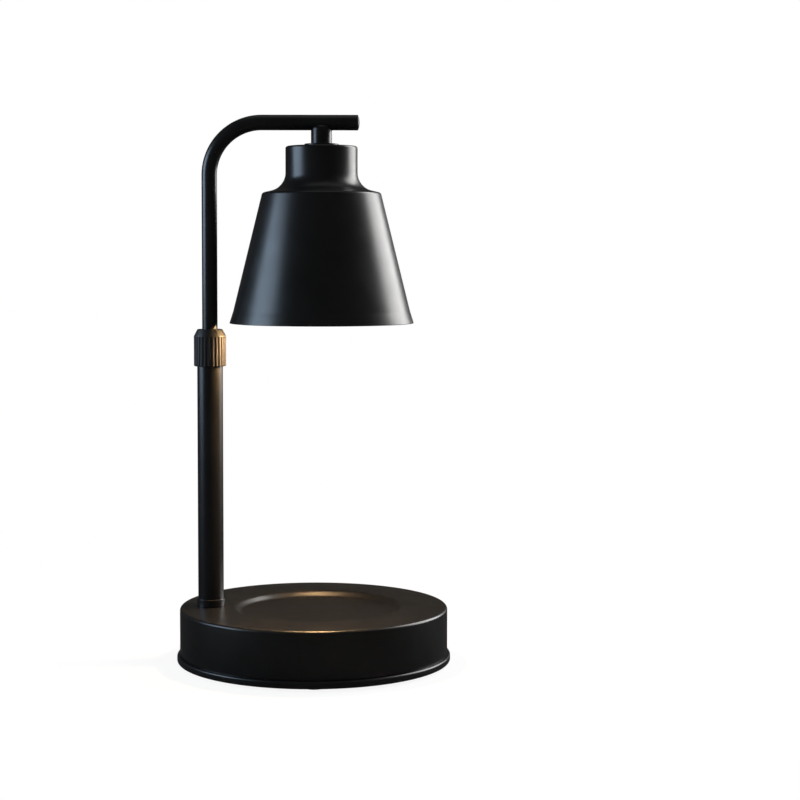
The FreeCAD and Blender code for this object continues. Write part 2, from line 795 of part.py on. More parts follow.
def lamp_cap():
    """Ceramic cap of the lamp, with two flats."""
    z = cap_top - cap_h
    body = lathe([(0, z), (cap_d / 2, z), (cap_d / 2, cap_top, cap_round), (0, cap_top)], stem_x)
    keep = block((stem_x - cap_d, stem_x + cap_d), (-cap_flats / 2, cap_flats / 2),
                 (z - over, cap_top + over))
    return body.common(keep)


def reflector_side(r_low, r_high, z_low, z_high):
    """Point halfway up the curved side of the round-backed bowl."""
    share = math.pow(0.5, reflector_bulge)
    return Vector(r_high + (r_low - r_high) * share, 0, (z_low + z_high) / 2)


def lamp_reflector():
    """Bowl of pressed glass, closed at the back by the cap."""
    outer_r = reflector_d / 2
    rim_low = mouth_z + reflector_rim_h
    back_r = cap_d / 2
    top = reflector_top
    wall = reflector_wall
    bulge_out = reflector_side(outer_r, back_r, rim_low, top)
    bulge_in = reflector_side(outer_r - wall, back_r - wall, rim_low, top - wall)
    points = [Vector(0, 0, top), Vector(back_r, 0, top), Vector(outer_r, 0, rim_low),
              Vector(outer_r, 0, mouth_z), Vector(outer_r - wall, 0, mouth_z),
              Vector(outer_r - wall, 0, rim_low), Vector(back_r - wall, 0, top - wall),
              Vector(0, 0, top - wall)]
    edges = [Part.LineSegment(points[0], points[1]).toShape(),
             Part.Arc(points[1], bulge_out, points[2]).toShape(),
             Part.LineSegment(points[2], points[3]).toShape(),
             Part.LineSegment(points[3], points[4]).toShape(),
             Part.LineSegment(points[4], points[5]).toShape(),
             Part.Arc(points[5], bulge_in, points[6]).toShape(),
             Part.LineSegment(points[6], points[7]).toShape(),
             Part.LineSegment(points[7], points[0]).toShape()]
    bowl = Part.Face(Part.Wire(edges)).revolve(Vector(0, 0, 0), Vector(0, 0, 1), 360)
    bowl.translate(Vector(stem_x, 0, 0))
    return bowl


def lamp_lens():
    """Front glass, slightly crowned, seated inside the reflector's rim."""
    r = reflector_d / 2 - reflector_wall - snug
    low = mouth_z + lens_inset
    ball_r = (r * r + lens_crown * lens_crown) / (2 * lens_crown)
    ball = Part.makeSphere(ball_r, Vector(stem_x, 0, low - lens_crown + ball_r))
    blank = rod(2 * r, low - lens_crown - over, low + lens_t, stem_x)
    return blank.common(ball)


def lamp_capsule():
    """Small halogen capsule that hangs in the reflector."""
    top = reflector_top - reflector_wall
    return lathe([(0, top - capsule_h), (capsule_d / 2, top - capsule_h, capsule_round),
                  (capsule_d / 2, top), (0, top)], stem_x)


nodes = {
    "base_housing": base_housing,
    "base_plate": base_plate,
    "rubber_feet": rubber_feet,
    "plate_screws": plate_screws,
    "counterweight": counterweight,
    "weight_screws": weight_screws,
    "cord_gland": cord_gland,
    "gland_nut": gland_nut,
    "pole_ferrule": pole_ferrule,
    "outer_tube": outer_tube,
    "foot_plug": foot_plug,
    "foot_washer": foot_washer,
    "foot_nut": foot_nut,
    "collet_bush": collet_bush,
    "split_collet": split_collet,
    "collet_nut": collet_nut,
    "guide_ring": guide_ring,
    "guide_clip": guide_clip,
    "tube_sleeve": tube_sleeve,
    "arm_tube": arm_tube,
    "arm_cap": arm_cap,
    "stem": stem,
    "neck_washer": neck_washer,
    "nipple": nipple,
    "shade": shade,
    "shade_washer": shade_washer,
    "holder_strap": holder_strap,
    "nipple_nut": nipple_nut,
    "holder_screws": holder_screws,
    "lamp_holder": lamp_holder,
    "holder_contacts": holder_contacts,
    "lamp_pins": lamp_pins,
    "lamp_cap": lamp_cap,
    "lamp_reflector": lamp_reflector,
    "lamp_lens": lamp_lens,
    "lamp_capsule": lamp_capsule,
}

os.makedirs("parts", exist_ok=True)
for name, make in nodes.items():
    shape = make()
    shape.exportStep("parts/" + name + ".step")
    print(name, len(shape.Solids), "solids", round(shape.Volume), "mm3", shape.isValid())
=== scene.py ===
import bpy
import bmesh
import json
import math
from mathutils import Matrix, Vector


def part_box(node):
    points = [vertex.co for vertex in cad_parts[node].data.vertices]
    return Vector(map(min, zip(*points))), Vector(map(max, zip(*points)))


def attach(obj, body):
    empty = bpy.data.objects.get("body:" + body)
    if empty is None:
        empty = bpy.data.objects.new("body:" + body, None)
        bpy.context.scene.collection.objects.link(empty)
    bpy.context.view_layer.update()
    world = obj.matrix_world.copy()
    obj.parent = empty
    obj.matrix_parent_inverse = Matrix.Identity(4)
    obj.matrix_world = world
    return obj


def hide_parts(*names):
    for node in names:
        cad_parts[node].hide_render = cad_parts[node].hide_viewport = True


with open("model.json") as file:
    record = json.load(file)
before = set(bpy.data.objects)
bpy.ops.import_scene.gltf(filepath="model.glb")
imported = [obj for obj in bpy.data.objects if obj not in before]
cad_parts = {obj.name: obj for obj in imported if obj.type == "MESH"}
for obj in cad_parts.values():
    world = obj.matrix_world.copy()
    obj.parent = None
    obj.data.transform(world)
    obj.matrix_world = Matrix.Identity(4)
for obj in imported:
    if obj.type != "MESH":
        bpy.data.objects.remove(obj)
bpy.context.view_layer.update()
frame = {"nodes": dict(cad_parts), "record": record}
nodes = frame["nodes"]
mm = 0.001
tiny = 0.000004                   # places nearer than this count as the same
print("frame loaded:", len(nodes), "nodes")

# places that several pieces share, in millimetres
poleX = -56.45                    # axis of the pole
stemX = 4.5                       # axis of the stem, the shade and its lamp
dishX = 2.6                       # middle of the candle dish
baseTop = 31.1
plateBottom = 1.5
pillarRing = 61.0                 # circle of the four screws that close the base
footRing = 63.0                   # circle of the four rubber feet
shadeTop = 282.6
stemFoot = 283.3                  # the stem stands on the washer
armAxisZ = 295.35


def deselectAll():
    if bpy.context.object and bpy.context.object.mode != "OBJECT":
        bpy.ops.object.mode_set(mode="OBJECT")
    bpy.ops.object.select_all(action="DESELECT")


def pickOnly(piece):
    deselectAll()
    piece.select_set(True)
    bpy.context.view_layer.objects.active = piece


def settlePlace(piece):
    # the place goes into the mesh, so the object itself sits at the origin
    pickOnly(piece)
    bpy.ops.object.transform_apply(location=True, rotation=True, scale=True)


def faceOutwards(piece):
    pickOnly(piece)
    bpy.ops.object.mode_set(mode="EDIT")
    bpy.ops.mesh.select_all(action="SELECT")
    bpy.ops.mesh.remove_doubles(threshold=tiny / 2)
    bpy.ops.mesh.normals_make_consistent(inside=False)
    bpy.ops.object.mode_set(mode="OBJECT")


def smoothByAngle(piece, degrees=32):
    pickOnly(piece)
    bpy.ops.object.shade_smooth_by_angle(angle=math.radians(degrees))


def applyModifier(piece, kind, **values):
    pickOnly(piece)
    modifier = piece.modifiers.new(kind.lower(), kind)
    for key, value in values.items():
        setattr(modifier, key, value)
    bpy.ops.object.modifier_apply(modifier=modifier.name)


def combine(piece, tool, operation):
    # the tool is cut from the piece or welded to it, and is then done with
    applyModifier(piece, "BOOLEAN", operation=operation, solver="EXACT", object=tool)
    bpy.data.objects.remove(tool, do_unlink=True)


def addRod(radius, low, high, x=0.0, y=0.0, sides=48, along="Z"):
    # a plain rod to cut or weld with, its low and high ends along one axis
    deselectAll()
    middle = (low + high) / 2
    places = {"Z": (x, y, middle), "X": (middle, y, x), "Y": (x, middle, y)}
    turns = {"Z": (0, 0, 0), "X": (0, math.pi / 2, 0), "Y": (math.pi / 2, 0, 0)}
    bpy.ops.mesh.primitive_cylinder_add(vertices=sides, radius=radius * mm,
                                        depth=(high - low) * mm,
                                        location=[value * mm for value in places[along]],
                                        rotation=turns[along])
    return bpy.context.object


def ringPlaces(radius, count, firstDegrees):
    angles = [math.radians(firstDegrees + 360 * k / count) for k in range(count)]
    return [(radius * math.cos(angle), radius * math.sin(angle)) for angle in angles]


def selectEdges(piece, fits):
    # edges whose two ends both answer the test, in the world's millimetres
    bpy.ops.mesh.select_all(action="DESELECT")
    mesh = bmesh.from_edit_mesh(piece.data)
    place = piece.location
    for edge in mesh.edges:
        if all(fits((vert.co + place) / mm) for vert in edge.verts):
            edge.select_set(True)
    bmesh.update_edit_mesh(piece.data)


def selectRing(piece, axis, radius, height):
    slack = tiny / mm
    selectEdges(piece, lambda p: abs(math.hypot(p.x - axis, p.y) - radius) < slack
                and abs(p.z - height) < slack)


def roundReach(before, corner, after, radius):
    # how far along each side a rounding of that radius reaches
    ax, az = before[0] - corner[0], before[1] - corner[1]
    bx, bz = after[0] - corner[0], after[1] - corner[1]
    cosine = (ax * bx + az * bz) / (math.hypot(ax, az) * math.hypot(bx, bz))
    return radius / math.tan(math.acos(max(-1.0, min(1.0, cosine))) / 2)


def turnPiece(name, piece):
    # a circle is extruded ring by ring along the outline, as on a lathe, then rings are rounded
    # a ring is (radius, height, rounding, axis) in millimetres; the last two may be left out
    rings = []
    for ring in piece["rings"]:
        rounding = ring[2] if len(ring) > 2 else 0.0
        rings.append((ring[0], ring[1], rounding, ring[3] if len(ring) > 3 else piece["axis"]))
    deselectAll()
    radius, height, _, axis = rings[0]
    bpy.ops.mesh.primitive_circle_add(vertices=piece["sides"], radius=radius * mm,
                                      location=(axis * mm, 0, height * mm))
    made = bpy.context.object
    made.name = name
    bpy.ops.object.mode_set(mode="EDIT")
    path = rings[1:] + ([rings[0]] if piece.get("closed") else [])
    for newRadius, newHeight, _, newAxis in path:
        selectRing(made, axis, radius, height)
        step = ((newAxis - axis) * mm, 0, (newHeight - height) * mm)
        bpy.ops.mesh.extrude_region_move(TRANSFORM_OT_translate={"value": step})
        grow = newRadius / radius
        bpy.ops.transform.resize(value=(grow, grow, 1),
                                 center_override=(newAxis * mm, 0, newHeight * mm))
        radius, height, axis = newRadius, newHeight, newAxis
    if piece.get("closed"):
        bpy.ops.mesh.select_all(action="SELECT")
        bpy.ops.mesh.remove_doubles(threshold=tiny / 2)
    else:
        for endRadius, endHeight, _, endAxis in (rings[0], rings[-1]):
            selectRing(made, endAxis, endRadius, endHeight)
            bpy.ops.mesh.edge_face_add()
    for i, (ringRadius, ringHeight, rounding, ringAxis) in enumerate(rings):
        if rounding:
            reach = roundReach(rings[i - 1], rings[i], rings[(i + 1) % len(rings)], rounding)
            selectRing(made, ringAxis, ringRadius, ringHeight)
            bpy.ops.mesh.bevel(offset_type="OFFSET", offset=reach * mm, profile=0.5,
                               segments=piece.get("roundSteps", 6), clamp_overlap=False)
    bpy.ops.object.mode_set(mode="OBJECT")
    settlePlace(made)
    faceOutwards(made)
    smoothByAngle(made, piece.get("smoothAngle", 32))
    return made


def copyRound(piece, count):
    # copies turned evenly round the middle of the base, joined to the first
    copies = [piece]
    for k in range(1, count):
        pickOnly(piece)
        bpy.ops.object.duplicate()
        copy = bpy.context.object
        copy.rotation_euler = (0, 0, 2 * math.pi * k / count)
        settlePlace(copy)
        copies.append(copy)
    pickOnly(piece)
    for copy in copies:
        copy.select_set(True)
    bpy.ops.object.join()
    return piece


camera = {
    "focalPixels": 1892.3,        # focal length in pixels of an 800 pixel frame
    "framePixels": 800.0,
    "sensor": 36.0,
    "distance": 1032.7,           # in front of the base's centre
    "height": 225.2,
    "pitch": math.degrees(0.05697),
    "yaw": math.degrees(0.02461),
    "shiftX": 0.05,
    "shiftY": -0.05,
}


def addCamera():
    deselectAll()
    bpy.ops.object.camera_add(location=(0, -camera["distance"] * mm, camera["height"] * mm),
                              rotation=(math.radians(90 - camera["pitch"]), 0,
                                        -math.radians(camera["yaw"])))
    made = bpy.context.object
    made.data.sensor_width = camera["sensor"]
    made.data.lens = camera["focalPixels"] / camera["framePixels"] * camera["sensor"]
    made.data.shift_x = camera["shiftX"]
    made.data.shift_y = camera["shiftY"]
    bpy.context.scene.camera = made


def newMaterial(name):
    material = bpy.data.materials.new(name)
    material.use_nodes = True
    tree = material.node_tree
    shader = tree.nodes["Principled BSDF"]
    return material, tree, shader


def addNode(tree, kind, x, y, **values):
    made = tree.nodes.new(kind)
    made.location = (x, y)
    for key, value in values.items():
        if key in made.inputs:
            made.inputs[key].default_value = value
        else:
            setattr(made, key, value)
    return made


def noiseOn(tree, x, y, scale, detail=3.0):
    # noise in object space, so that it stays on the piece when the piece moves
    place = addNode(tree, "ShaderNodeTexCoord", x - 200, y)
    noise = addNode(tree, "ShaderNodeTexNoise", x, y, Scale=scale, Detail=detail, Roughness=0.5)
    tree.links.new(place.outputs["Object"], noise.inputs["Vector"])
    return noise.outputs["Fac"]


def rangeOf(tree, x, y, source, low, high, fromLow=0.3, fromHigh=0.7):
    # carries a value from one range to another; noise mostly stays within 0.3 and 0.7
    remap = addNode(tree, "ShaderNodeMapRange", x, y)
    remap.inputs["From Min"].default_value = fromLow
    remap.inputs["From Max"].default_value = fromHigh
    remap.inputs["To Min"].default_value = low
    remap.inputs["To Max"].default_value = high
    tree.links.new(source, remap.inputs["Value"])
    return remap.outputs["Result"]


def blendColours(tree, x, y, factor, first, second):
    ramp = addNode(tree, "ShaderNodeValToRGB", x, y)
    ramp.color_ramp.elements[0].position = 0.35
    ramp.color_ramp.elements[0].color = (*first, 1)
    ramp.color_ramp.elements[1].position = 0.65
    ramp.color_ramp.elements[1].color = (*second, 1)
    tree.links.new(factor, ramp.inputs["Fac"])
    return ramp.outputs["Color"]


def bumpFrom(tree, x, y, height, strength, distance):
    bump = addNode(tree, "ShaderNodeBump", x, y, Strength=strength, Distance=distance)
    tree.links.new(height, bump.inputs["Height"])
    return bump.outputs["Normal"]


powderCoat = {
    "dark": (0.0034, 0.0034, 0.0036),
    "light": (0.0052, 0.0052, 0.0054),
    "toneScale": 40.0,            # slow change of tone, about 25 mm across
    "roughLow": 0.285,
    "roughHigh": 0.335,
    "sheenScale": 90.0,
    "specular": 0.4,
    "peelScale": 1500.0,          # orange peel of the coat, about 0.7 mm across
    "peelStrength": 0.5,
    "peelDepth": 0.000012,
}


def powderMaterial(name, roughShift=0.0, specular=None):
    # matt black powder coat: fine orange peel, slow change of sheen and of tone
    material, tree, shader = newMaterial(name)
    cloud = noiseOn(tree, -900, 300, powderCoat["toneScale"])
    tone = blendColours(tree, -500, 300, cloud, powderCoat["dark"], powderCoat["light"])
    tree.links.new(tone, shader.inputs["Base Color"])
    sheen = noiseOn(tree, -900, 0, powderCoat["sheenScale"], detail=4.0)
    rough = rangeOf(tree, -500, 0, sheen, powderCoat["roughLow"] + roughShift,
                    powderCoat["roughHigh"] + roughShift)
    tree.links.new(rough, shader.inputs["Roughness"])
    peel = noiseOn(tree, -900, -300, powderCoat["peelScale"], detail=2.0)
    bump = bumpFrom(tree, -500, -300, peel, powderCoat["peelStrength"], powderCoat["peelDepth"])
    tree.links.new(bump, shader.inputs["Normal"])
    shader.inputs["Specular IOR Level"].default_value = specular or powderCoat["specular"]
    return material


metalMarks = {
    "scale": 600.0,               # marks about 1.7 mm across
    "strength": 0.3,
    "depth": 0.00001,
}


def metalMaterial(name, dark, light, roughLow, roughHigh):
    # plated, cast or turned metal with fine marks in tone, gloss and surface
    material, tree, shader = newMaterial(name)
    marks = noiseOn(tree, -900, 0, metalMarks["scale"], detail=5.0)
    tree.links.new(blendColours(tree, -500, 300, marks, dark, light), shader.inputs["Base Color"])
    tree.links.new(rangeOf(tree, -500, 0, marks, roughLow, roughHigh), shader.inputs["Roughness"])
    bump = bumpFrom(tree, -500, -300, marks, metalMarks["strength"], metalMarks["depth"])
    tree.links.new(bump, shader.inputs["Normal"])
    shader.inputs["Metallic"].default_value = 1.0
    return material


plainGrain = {
    "mottleScale": 80.0,
    "grainScale": 400.0,          # grain about 2.5 mm across
    "strength": 0.4,
    "depth": 0.00002,
}


def plainMaterial(name, dark, light, roughLow, roughHigh):
    # rubber, nylon or ceramic: mottled tone, uneven gloss and a fine grain
    material, tree, shader = newMaterial(name)
    mottle = noiseOn(tree, -900, 300, plainGrain["mottleScale"])
    grain = noiseOn(tree, -900, 0, plainGrain["grainScale"], detail=4.0)
    tree.links.new(blendColours(tree, -500, 300, mottle, dark, light), shader.inputs["Base Color"])
    tree.links.new(rangeOf(tree, -500, 0, grain, roughLow, roughHigh), shader.inputs["Roughness"])
    bump = bumpFrom(tree, -500, -300, grain, plainGrain["strength"], plainGrain["depth"])
    tree.links.new(bump, shader.inputs["Normal"])
    return material


glassRipple = {
    "scale": 250.0,               # ripples about 4 mm across
    "strength": 0.5,
    "depth": 0.00008,
    "clearness": 0.6,
}


def glassMaterial(name, tint, roughness, glow, strength):
    # pressed glass lit from behind by the lamp
    material, tree, shader = newMaterial(name)
    ripple = noiseOn(tree, -900, -300, glassRipple["scale"], detail=2.0)
    bump = bumpFrom(tree, -500, -300, ripple, glassRipple["strength"], glassRipple["depth"])
    tree.links.new(bump, shader.inputs["Normal"])
    shader.inputs["Base Color"].default_value = (*tint, 1)
    shader.inputs["Roughness"].default_value = roughness
    shader.inputs["Transmission Weight"].default_value = glassRipple["clearness"]
    shader.inputs["Emission Color"].default_value = (*glow, 1)
    shader.inputs["Emission Strength"].default_value = strength
    return material


finishes = {
    "blackCoat": powderMaterial("blackCoat"),
    "shadeCoat": powderMaterial("shadeCoat"),
    "nutCoat": powderMaterial("nutCoat", roughShift=0.16, specular=0.5),
    "zincPlate": metalMaterial("zincPlate", (0.5, 0.5, 0.49), (0.66, 0.66, 0.63), 0.25, 0.42),
    "castIron": metalMaterial("castIron", (0.07, 0.07, 0.072), (0.14, 0.14, 0.14), 0.55, 0.75),
    "brass": metalMaterial("brass", (0.6, 0.4, 0.14), (0.75, 0.53, 0.22), 0.22, 0.38),
    "rubber": plainMaterial("rubber", (0.008, 0.008, 0.008), (0.02, 0.02, 0.02), 0.6, 0.8),
    "blackNylon": plainMaterial("blackNylon", (0.01, 0.01, 0.011), (0.018, 0.018, 0.019),
                                0.4, 0.55),
    "paleNylon": plainMaterial("paleNylon", (0.62, 0.61, 0.56), (0.75, 0.74, 0.69), 0.35, 0.5),
    "ceramic": plainMaterial("ceramic", (0.72, 0.69, 0.6), (0.82, 0.79, 0.72), 0.25, 0.45),
    "mirrorGlass": metalMaterial("mirrorGlass", (0.75, 0.74, 0.72), (0.85, 0.84, 0.82), 0.12, 0.2),
    "lensGlass": glassMaterial("lensGlass", (1.0, 0.95, 0.85), 0.12, (1.0, 0.62, 0.27), 4.0),
    "quartz": glassMaterial("quartz", (1.0, 0.98, 0.94), 0.05, (1.0, 0.66, 0.3), 6.0),
}

slotFinish = {
    "black_coat": "blackCoat", "black_rim": "blackCoat", "shade_coat": "shadeCoat",
    "black_collet": "nutCoat", "zinc_steel": "zincPlate", "spring_steel": "zincPlate",
    "cast_iron": "castIron", "brass": "brass", "rubber": "rubber",
    "black_nylon": "blackNylon", "white_nylon": "paleNylon", "ceramic": "ceramic",
    "reflector": "mirrorGlass", "lens_glass": "lensGlass", "capsule_glass": "quartz",
}
nodeSlot = {part["node"]: part["material_slot"] for part in frame["record"]["subparts"]}


def dressNode(name):
    # a CAD node that stays keeps its shape and gets the finish of its slot
    material = finishes[slotFinish[nodeSlot[name]]]
    node = nodes[name]
    node.data.materials.clear()
    node.data.materials.append(material)


def finishPiece(piece, body, *replaced):
    # the finish, the body it moves with and the CAD nodes that it stands for
    slot = nodeSlot[replaced[0]]
    piece.data.materials.clear()
    piece.data.materials.append(finishes[slotFinish[slot]])
    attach(piece, body)
    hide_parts(*replaced)
    return piece


for nodeName in nodes:
    dressNode(nodeName)
print("materials ready:", len(finishes))


housing = {
    "axis": 0.0,
    "sides": 192,
    "roundSteps": 8,
    # the inside from under the dish outwards, then the outside back to the dish
    "rings": [(40.0, 26.5, 0.0, dishX), (43.7, 26.5, 3.1, dishX), (48.2, 29.9, 0.7, dishX),
              (72.2, 29.9, 1.4), (72.2, 5.9), (73.4, 5.9, 0.15), (73.4, baseTop, 1.6),
              (46.0, baseTop, 3.6, dishX), (42.4, 27.8, 3.6, dishX), (38.0, 27.8, 0.0, dishX)],
    "pillar": 3.5,
    "pillarLow": 3.3,
    "pillarHigh": 30.4,           # welded into the top sheet
    "gland": 3.55,
    "glandHeight": 17.5,
    "glandReach": (60.0, 80.0),   # the hole's tool goes through the rear wall
}


def makeHousing():
    made = turnPiece("housingCover", housing)
    for x, y in ringPlaces(pillarRing, 4, 45):
        pillar = addRod(housing["pillar"], housing["pillarLow"], housing["pillarHigh"], x, y)
        combine(made, pillar, "UNION")
    hole = addRod(housing["gland"], *housing["glandReach"], 0, housing["glandHeight"], along="Y")
    combine(made, hole, "DIFFERENCE")
    smoothByAngle(made)
    finishPiece(made, "base", "base_housing")


bottomPlate = {
    "axis": 0.0,
    "sides": 192,
    "roundSteps": 8,
    "rings": [(60.0, 3.3), (70.5, 3.3), (70.5, 8.1), (72.0, 8.1), (72.0, 5.9), (72.9, 5.9),
              (72.9, 5.5), (75.0, 5.5, 1.1), (75.0, plateBottom, 1.1), (60.0, plateBottom)],
    "footPocket": 6.2,
    "footPocketTop": 2.4,
    "screwHead": 2.93,
    "screwHole": 1.7,
    "screwSink": 1.5,             # depth of the cone for the screw's head
    "screwHoleTop": 5.0,
    "weightRing": 34.0,           # circle of the three screws that hold the weight
    "cutPast": 1.0,               # how far a tool starts below the plate
}


def screwSink(x, y):
    # countersunk hole: a cone below and a plain hole above it
    low, high = plateBottom, plateBottom + bottomPlate["screwSink"]
    deselectAll()
    bpy.ops.mesh.primitive_cone_add(vertices=48, radius1=bottomPlate["screwHead"] * mm,
                                    radius2=bottomPlate["screwHole"] * mm,
                                    depth=(high - low) * mm,
                                    location=(x * mm, y * mm, (low + high) / 2 * mm))
    cone = bpy.context.object
    hole = addRod(bottomPlate["screwHole"], low - bottomPlate["cutPast"],
                  bottomPlate["screwHoleTop"], x, y)
    combine(cone, hole, "UNION")
    return cone


def makePlate():
    made = turnPiece("bottomPlate", bottomPlate)
    for x, y in ringPlaces(footRing, 4, 0):
        pocket = addRod(bottomPlate["footPocket"], plateBottom - bottomPlate["cutPast"],
                        bottomPlate["footPocketTop"], x, y)
        combine(made, pocket, "DIFFERENCE")
    for x, y in ringPlaces(pillarRing, 4, 45) + ringPlaces(bottomPlate["weightRing"], 3, 90):
        combine(made, screwSink(x, y), "DIFFERENCE")
    smoothByAngle(made)
    finishPiece(made, "base", "base_plate")


rubberFoot = {
    "axis": footRing,
    "sides": 64,
    "rings": [(2.0, bottomPlate["footPocketTop"]), (6.0, bottomPlate["footPocketTop"]),
              (6.0, 0.0, 0.5), (4.2, 0.0, 0.1), (4.0, 0.25, 0.1), (2.0, 0.25)],
}


def makeFeet():
    made = copyRound(turnPiece("rubberFeet", rubberFoot), 4)
    finishPiece(made, "base", "rubber_feet")


ferrule = {
    "axis": poleX,
    "sides": 96,
    "closed": True,
    "rings": [(7.05, baseTop), (7.6, baseTop, 0.1), (7.6, 35.5, 0.35), (7.05, 35.5)],
}

lowerTube = {
    "axis": poleX,
    "sides": 96,
    "closed": True,
    "rings": [(6.0, baseTop), (7.0, baseTop), (7.0, 167.0, 0.2), (6.0, 167.0, 0.2)],
}


def makePole():
    finishPiece(turnPiece("poleFerrule", ferrule), "base", "pole_ferrule")
    finishPiece(turnPiece("lowerTube", lowerTube), "base", "outer_tube")


clampNut = {
    "axis": poleX,
    "sides": 312,
    "closed": True,
    "roundSteps": 5,
    "rings": [(7.5, 163.1), (8.75, 163.1, 0.6), (8.75, 178.9), (8.75, 179.5, 0.5),
              (6.8, 183.3, 0.6), (4.55, 183.3, 0.15), (4.55, 182.4), (5.95, 179.8),
              (5.95, 176.6), (6.45, 176.6), (6.45, 168.6), (7.5, 168.6)],
    "flutes": 26,
    "fluteRadius": 0.65,
    "fluteRing": 9.02,            # circle of the flutes' middles
    "innerLimit": 7.6,            # nothing nearer the axis is fluted
    "fluteTop": 179.0,            # the flutes run out just below the bevel
    "fluteSmooth": 35,
}


def makeClampNut():
    # each column of points goes in as far as the round flute reaches there
    made = turnPiece("clampNut", clampNut)
    perFlute = clampNut["sides"] // clampNut["flutes"]
    pickOnly(made)
    bpy.ops.object.mode_set(mode="EDIT")
    for column in range(-perFlute // 2, perFlute // 2 + 1):
        angle = 2 * math.pi * column / clampNut["sides"]
        across = clampNut["fluteRing"] * math.sin(angle)
        if abs(across) >= clampNut["fluteRadius"]:
            continue
        limit = clampNut["fluteRing"] * math.cos(angle) \
            - math.sqrt(clampNut["fluteRadius"] ** 2 - across ** 2)
        moveColumn(made, column, perFlute, limit)
    bpy.ops.object.mode_set(mode="OBJECT")
    smoothByAngle(made, clampNut["fluteSmooth"])
    finishPiece(made, "collet_nut", "collet_nut")


def moveColumn(made, column, perFlute, limit):
    # points of one column of every flute, grouped by radius, are drawn in to the limit
    mesh = bmesh.from_edit_mesh(made.data)
    groups = {}
    for vert in mesh.verts:
        x, y = vert.co.x / mm - poleX, vert.co.y / mm
        radius = math.hypot(x, y)
        place = round(math.atan2(y, x) / (2 * math.pi) * clampNut["sides"])
        if vert.co.z / mm > clampNut["fluteTop"]:
            continue
        if radius > max(limit, clampNut["innerLimit"]) and (place - column) % perFlute == 0:
            groups.setdefault(round(radius, 3), []).append(vert.index)
    for radius, members in groups.items():
        bpy.ops.mesh.select_all(action="DESELECT")
        mesh = bmesh.from_edit_mesh(made.data)
        mesh.verts.ensure_lookup_table()
        for index in members:
            mesh.verts[index].select_set(True)
        bmesh.update_edit_mesh(made.data)
        draw = limit / radius
        bpy.ops.transform.resize(value=(draw, draw, 1), center_override=(poleX * mm, 0, 0))


upperTube = {
    "radius": 4.2,
    "wall": 0.8,
    "sides": 72,
    "bottom": 122.0,
    "bendRadius": 28.5,
    "bendSteps": 40,
    "endX": 23.2,
    "smoothAngle": 40,
}


def makeUpperTube():
    # a circle is drawn up the pole, spun round the bend and drawn out along the arm
    bendZ = armAxisZ - upperTube["bendRadius"]
    bendX = poleX + upperTube["bendRadius"]
    deselectAll()
    bpy.ops.mesh.primitive_circle_add(vertices=upperTube["sides"], radius=upperTube["radius"] * mm,
                                      location=(poleX * mm, 0, upperTube["bottom"] * mm))
    made = bpy.context.object
    made.name = "upperTube"
    bpy.ops.object.mode_set(mode="EDIT")
    bpy.ops.mesh.select_all(action="SELECT")
    rise = (0, 0, (bendZ - upperTube["bottom"]) * mm)
    bpy.ops.mesh.extrude_region_move(TRANSFORM_OT_translate={"value": rise})
    bpy.ops.mesh.spin(steps=upperTube["bendSteps"], angle=math.radians(-90), axis=(0, 1, 0),
                      center=(bendX * mm, 0, bendZ * mm))
    out = ((upperTube["endX"] - bendX) * mm, 0, 0)
    bpy.ops.mesh.extrude_region_move(TRANSFORM_OT_translate={"value": out})
    bpy.ops.object.mode_set(mode="OBJECT")
    settlePlace(made)
    faceOutwards(made)
    applyModifier(made, "SOLIDIFY", thickness=upperTube["wall"] * mm, offset=-1)
    smoothByAngle(made, upperTube["smoothAngle"])
    finishPiece(made, "arm", "arm_tube")


armEnd = {
    "axis": 0.0,
    "sides": 72,
    "roundSteps": 6,
    "rings": [(2.0, -6.0), (3.37, -6.0, 0.2), (3.37, 0.0), (4.2, 0.0), (4.2, 1.2, 0.5),
              (2.4, 1.75, 2.0), (0.5, 1.95)],
}


def makeArmEnd():
    # the plug is turned upright, then laid along the arm
    made = turnPiece("armEnd", armEnd)
    made.rotation_euler = (0, math.pi / 2, 0)
    made.location = (upperTube["endX"] * mm, 0, armAxisZ * mm)
    settlePlace(made)
    finishPiece(made, "arm", "arm_cap")


stem = {
    "axis": stemX,
    "sides": 96,
    "roundSteps": 8,
    "rings": [(3.0, stemFoot), (5.7, stemFoot, 0.15), (5.7, 294.35, 3.0), (1.2, 294.35)],
    "saddle": 4.21,               # radius of the hollow that the arm lies in
    "saddleReach": 12.0,
    "saddleSmooth": 35,
}

washer = {
    "axis": stemX,
    "sides": 96,
    "closed": True,
    "rings": [(5.1, shadeTop), (9.3, shadeTop, 0.1), (9.3, 283.9, 0.35), (5.9, 283.9),
              (5.9, stemFoot), (5.1, stemFoot)],
}


def makeStem():
    made = turnPiece("stem", stem)
    saddle = addRod(stem["saddle"], stemX - stem["saddleReach"], stemX + stem["saddleReach"],
                    armAxisZ, 0, sides=96, along="X")
    combine(made, saddle, "DIFFERENCE")
    smoothByAngle(made, stem["saddleSmooth"])
    finishPiece(made, "arm", "stem")
    finishPiece(turnPiece("neckWasher", washer), "arm", "neck_washer")


shade = {
    "axis": stemX,
    "sides": 224,
    "closed": True,
    "roundSteps": 8,
    "smoothAngle": 40,
    "wall": 1.0,
    "hole": 5.1,
    # outside corners from the top down: radius, height, rounding
    "outside": [(19.6, shadeTop, 1.3), (19.6, 260.4, 9.6), (32.3, 257.4, 1.8), (48.2, 193.0, 20.0),
                (50.3, 186.5, 0.25)],
}


